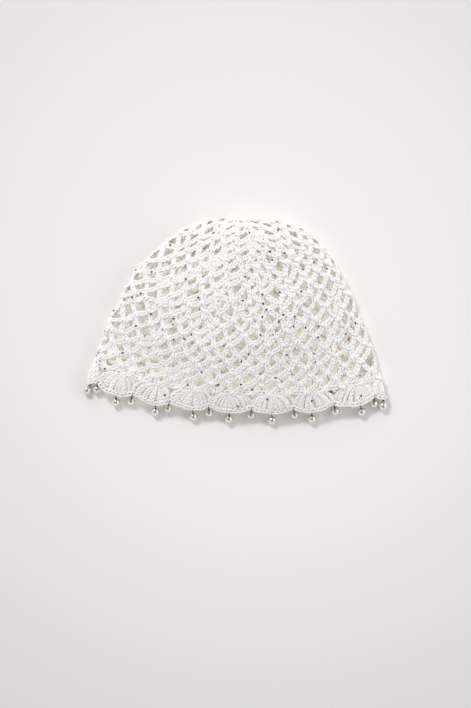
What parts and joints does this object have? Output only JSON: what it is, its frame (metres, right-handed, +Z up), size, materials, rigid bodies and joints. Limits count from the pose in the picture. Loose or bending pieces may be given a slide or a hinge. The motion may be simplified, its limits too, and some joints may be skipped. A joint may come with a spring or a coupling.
{
  "type": "crochet cap",
  "caption": "Soft flared crochet net cap lying flat, with a scalloped shell border and pearl drops hung on wire loops round its edge.",
  "frame": {"origin": "bottom centre of the lying cap's box, on the surface that it lies on", "axes": "+X across the hem, to the right as seen from above with the crown at the top; +Y from the hem towards the top of the crown; +Z up from the surface that it lies on"},
  "size_m": [0.28, 0.189, 0.0433],
  "materials": {
    "yarn": "matt, slightly fuzzy cotton yarn",
    "pearl": "pearl lustre",
    "wire": "dark burnished wire",
    "stud": "dark faceted studs"
  },
  "bodies": {
    "root": {"net_crown": "yarn", "shell_border": "yarn", "pearl_drop_01": "pearl", "pearl_drop_02": "pearl", "pearl_drop_03": "pearl", "pearl_drop_04": "pearl", "pearl_drop_05": "pearl", "pearl_drop_06": "pearl", "pearl_drop_07": "pearl", "pearl_drop_08": "pearl", "pearl_drop_09": "pearl", "pearl_drop_10": "pearl", "pearl_drop_11": "pearl", "pearl_drop_12": "pearl", "pearl_drop_13": "pearl", "pearl_drop_14": "pearl", "pearl_drop_15": "pearl", "pearl_drop_16": "pearl", "pearl_drop_17": "pearl", "pearl_drop_18": "pearl", "pearl_drop_19": "pearl", "pearl_drop_20": "pearl", "pearl_drop_21": "pearl", "pearl_drop_22": "pearl", "pearl_drop_23": "pearl", "pearl_drop_24": "pearl", "pearl_drop_25": "pearl", "pearl_drop_26": "pearl", "pearl_drop_27": "pearl", "pearl_drop_28": "pearl", "pearl_drop_29": "pearl", "pearl_drop_30": "pearl", "pearl_drop_31": "pearl", "pearl_drop_32": "pearl"}
  },
  "joints": []
}
